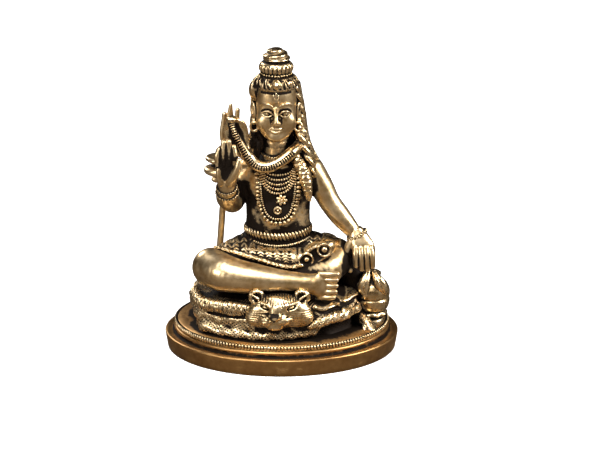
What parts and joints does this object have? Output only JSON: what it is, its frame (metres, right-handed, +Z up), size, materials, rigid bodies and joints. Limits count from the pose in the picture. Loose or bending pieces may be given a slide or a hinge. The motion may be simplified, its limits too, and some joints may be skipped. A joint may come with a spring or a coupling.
{
  "type": "shiva figure",
  "caption": "Small cast brass figure of a seated deity on a tiger-skin rock, one hand raised before a trident, the other over a water pot, on a stepped oval base.",
  "frame": {"origin": "middle of the oval base's underside", "axes": "+Z up, the figure looks along -Y, +X towards the water pot"},
  "size_m": [0.074, 0.063, 0.0977],
  "materials": {
    "antique_brass": "polished on the high places and dark in the recesses"
  },
  "bodies": {
    "root": {"shiva_figure": "antique_brass"}
  },
  "joints": []
}
